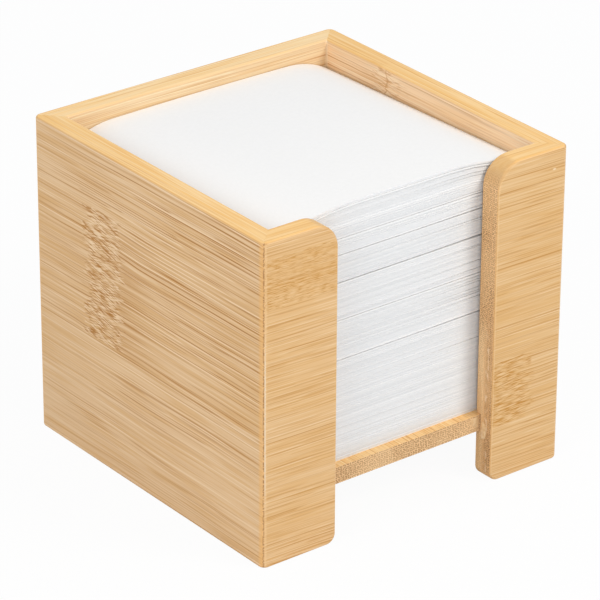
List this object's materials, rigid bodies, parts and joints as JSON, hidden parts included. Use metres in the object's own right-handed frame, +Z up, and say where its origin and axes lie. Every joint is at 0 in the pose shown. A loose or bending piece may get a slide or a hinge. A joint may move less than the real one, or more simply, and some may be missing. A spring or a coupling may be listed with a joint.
{
  "type": "memo pad holder",
  "caption": "Open bamboo memo box with a finger opening at the front, a raised base panel and a stack of loose white note sheets that lift out at the top.",
  "frame": {"origin": "under the middle of the box, on the surface that it stands on", "axes": "+Z up, -Y towards the front with the finger opening, +X to the right seen from the front"},
  "size_m": [0.105, 0.105, 0.097],
  "materials": {
    "bamboo_panel": "fine sanded bamboo with a thin satin lacquer, grain along each panel",
    "bamboo_base": "fine sanded bamboo, end grain at the front edge",
    "note_paper": "uncoated white note paper"
  },
  "bodies": {
    "holder": {"left_wall": "bamboo_panel", "right_wall": "bamboo_panel", "back_wall": "bamboo_panel", "front_left_post": "bamboo_panel", "front_right_post": "bamboo_panel", "base_panel": "bamboo_base"},
    "bundle_1": {"sheet_bundle_1": "note_paper"},
    "bundle_2": {"sheet_bundle_2": "note_paper"},
    "bundle_3": {"sheet_bundle_3": "note_paper"},
    "bundle_4": {"sheet_bundle_4": "note_paper"},
    "bundle_5": {"sheet_bundle_5": "note_paper"},
    "bundle_6": {"sheet_bundle_6": "note_paper"},
    "bundle_7": {"sheet_bundle_7": "note_paper"},
    "loose_top": {"top_sheets": "note_paper"}
  },
  "joints": [
    {"name": "lift_bundle_1", "type": "slide", "parent": "holder", "child": "bundle_1", "axis": [0, 0, 1], "range_m": [0, 0.08]},
    {"name": "lift_bundle_2", "type": "slide", "parent": "bundle_1", "child": "bundle_2", "axis": [0, 0, 1], "range_m": [0, 0.051]},
    {"name": "lift_bundle_3", "type": "slide", "parent": "bundle_2", "child": "bundle_3", "axis": [0, 0, 1], "range_m": [0, 0.039]},
    {"name": "lift_bundle_4", "type": "slide", "parent": "bundle_3", "child": "bundle_4", "axis": [0, 0, 1], "range_m": [0, 0.029]},
    {"name": "lift_bundle_5", "type": "slide", "parent": "bundle_4", "child": "bundle_5", "axis": [0, 0, 1], "range_m": [0, 0.022]},
    {"name": "lift_bundle_6", "type": "slide", "parent": "bundle_5", "child": "bundle_6", "axis": [0, 0, 1], "range_m": [0, 0.018]},
    {"name": "lift_bundle_7", "type": "slide", "parent": "bundle_6", "child": "bundle_7", "axis": [0, 0, 1], "range_m": [0, 0.015]},
    {"name": "lift_top_sheets", "type": "slide", "parent": "bundle_7", "child": "loose_top", "axis": [0, 0, 1], "range_m": [0, 0.011]}
  ]
}
